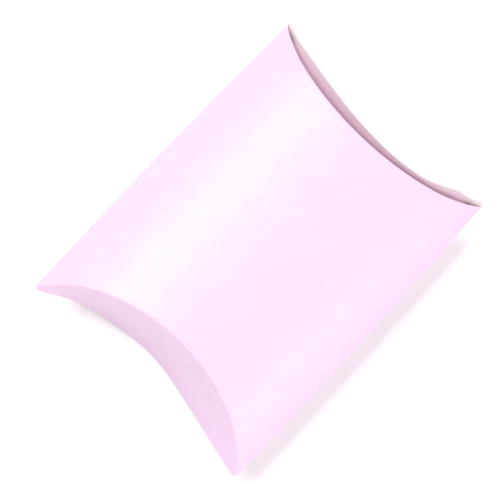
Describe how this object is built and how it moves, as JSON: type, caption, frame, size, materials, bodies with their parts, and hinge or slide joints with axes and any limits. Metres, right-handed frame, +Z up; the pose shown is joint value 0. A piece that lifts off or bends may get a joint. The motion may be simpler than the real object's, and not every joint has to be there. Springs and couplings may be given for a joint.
{
  "type": "pillow box",
  "caption": "Pillow-shaped folding card box with a bowed top and bottom and two curved flaps that lock over curved creases at each end.",
  "frame": {"origin": "the middle of the narrow strip of the bowed bottom that the box rests on, halfway along and across the box", "axes": "+X along the box to the end whose outer flap hangs from the bottom crease, +Y to the plain side fold, away from the glued seam, +Z up"},
  "size_m": [0.0786, 0.0568, 0.0209],
  "materials": {
    "pink_card": "satin",
    "glue": "matte"
  },
  "bodies": {
    "sleeve": {"top_panel": "pink_card", "bottom_panel": "pink_card", "side_fold": "pink_card", "glue_tab": "pink_card", "glue_line": "glue"},
    "near_outer": {"near_outer_flap": "pink_card"},
    "near_inner": {"near_inner_flap": "pink_card"},
    "far_outer": {"far_outer_flap": "pink_card"},
    "far_inner": {"far_inner_flap": "pink_card"}
  },
  "joints": [
    {"name": "near_outer_crease", "type": "hinge", "parent": "sleeve", "child": "near_outer", "pos_m": [-0.029, 0, 0.02091], "axis": [0, 1, 0], "range_deg": [-4.5, 75.5]},
    {"name": "near_inner_crease", "type": "hinge", "parent": "sleeve", "child": "near_inner", "pos_m": [-0.02845, 0, -0.00009], "axis": [0, -1, 0], "range_deg": [-3.15, 52.85]},
    {"name": "far_outer_crease", "type": "hinge", "parent": "sleeve", "child": "far_outer", "pos_m": [0.029, 0, -0.00009], "axis": [0, 1, 0], "range_deg": [-4, 76]},
    {"name": "far_inner_crease", "type": "hinge", "parent": "sleeve", "child": "far_inner", "pos_m": [0.02845, 0, 0.02091], "axis": [0, -1, 0], "range_deg": [-2.8, 53.2]}
  ],
  "couplings": [
    {"joint": "near_inner_crease", "follows": "near_outer_crease", "ratio": 0.7},
    {"joint": "far_inner_crease", "follows": "far_outer_crease", "ratio": 0.7}
  ]
}
